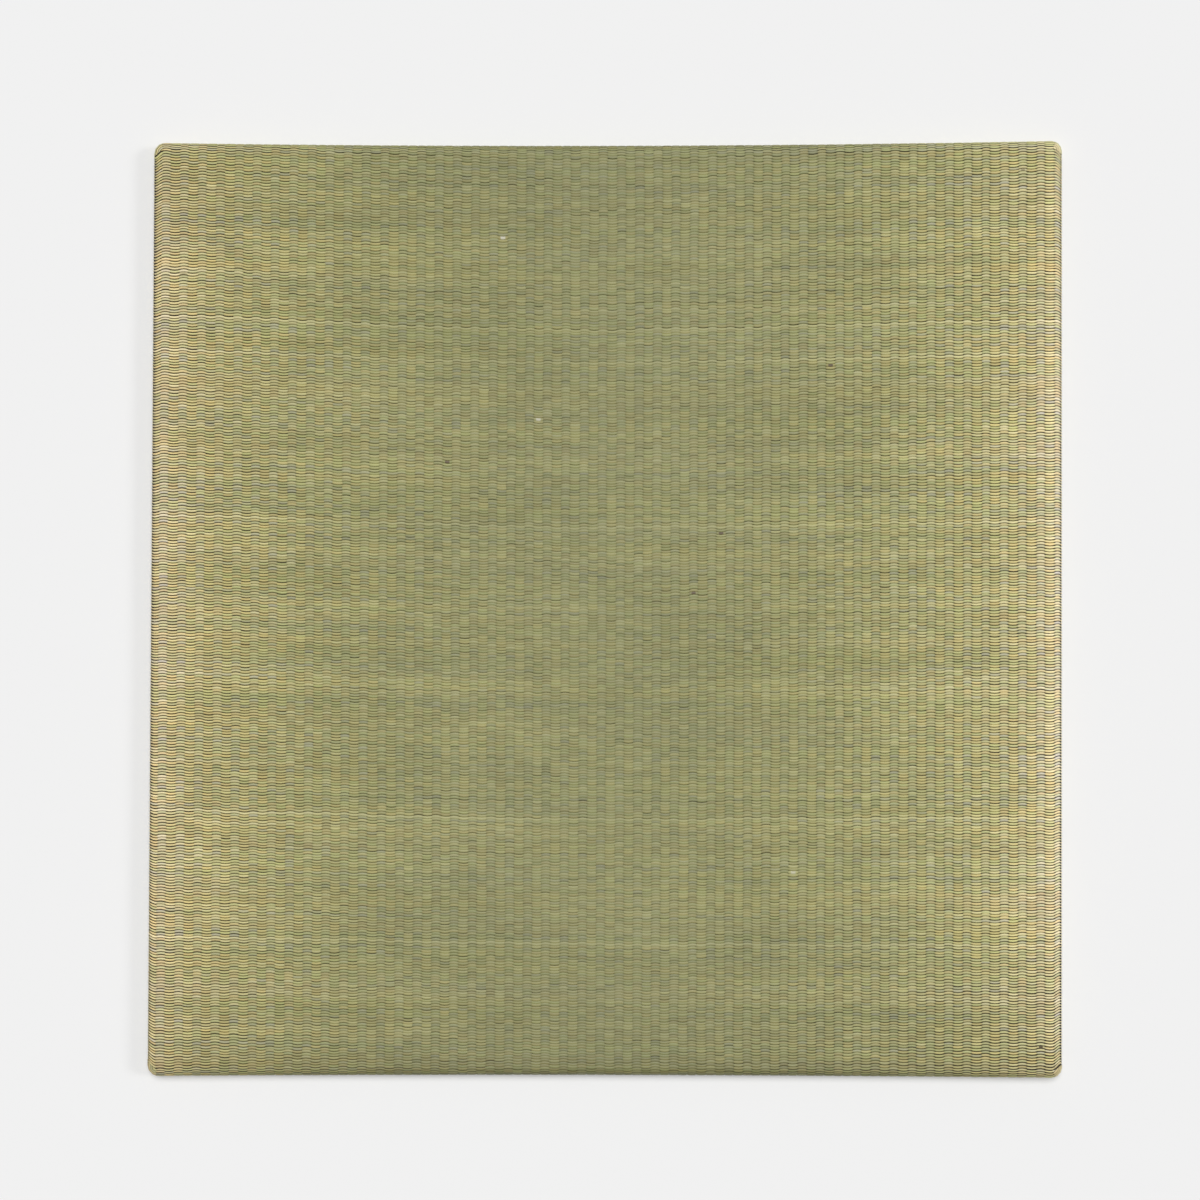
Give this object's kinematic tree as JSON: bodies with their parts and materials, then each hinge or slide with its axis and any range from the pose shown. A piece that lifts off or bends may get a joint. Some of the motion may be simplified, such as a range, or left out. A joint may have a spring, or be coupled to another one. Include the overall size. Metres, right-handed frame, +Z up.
{
  "type": "tatami mat",
  "caption": "Flat, almost square borderless floor mat of woven rush, with rounded corners and edges and narrow woven ribs, for laying on a floor.",
  "frame": {"origin": "middle of the mat's bounding box, on its flat underside", "axes": "+X along the rushes, +Y along the woven columns and the slightly longer side, +Z up through the thickness"},
  "size_m": [0.8223, 0.8427, 0.02],
  "materials": {
    "rush": "dry woven rush, softly glossy along each stalk"
  },
  "bodies": {
    "root": {"tatami_mat": "rush"}
  },
  "joints": []
}
